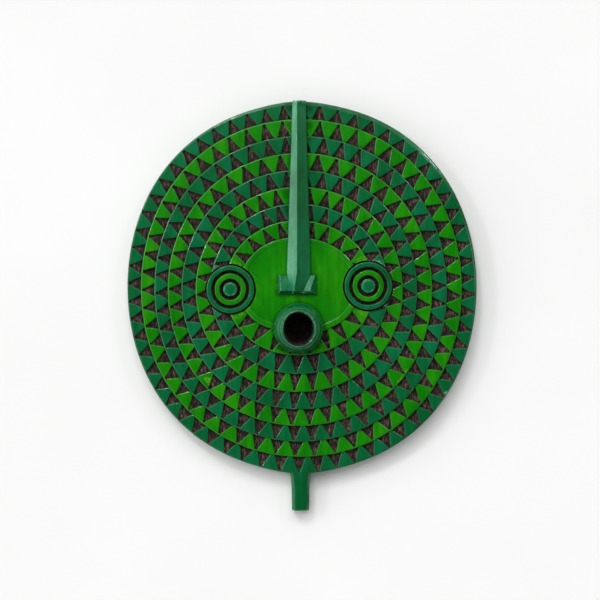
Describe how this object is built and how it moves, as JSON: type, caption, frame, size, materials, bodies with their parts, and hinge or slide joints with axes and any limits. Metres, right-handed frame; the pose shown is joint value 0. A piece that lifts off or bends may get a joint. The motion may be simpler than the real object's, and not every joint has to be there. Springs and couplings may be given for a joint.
{
  "type": "carved wooden sun mask",
  "caption": "Round carved wooden sun mask with rings of painted triangles, ringed eyes, a tubular mouth, a long nose ridge and a short peg.",
  "frame": {"origin": "middle of the mask's box, on the surface that it lies on", "axes": "+X to the right of the face as a viewer sees it, +Y to the top of the mask, +Z out of the face"},
  "size_m": [0.3846, 0.4516, 0.0644],
  "materials": {
    "painted_wood": "dark and light green gloss paint over carved wood, with the recesses burnt dark brown"
  },
  "bodies": {
    "root": {"sun_mask": "painted_wood"}
  },
  "joints": []
}
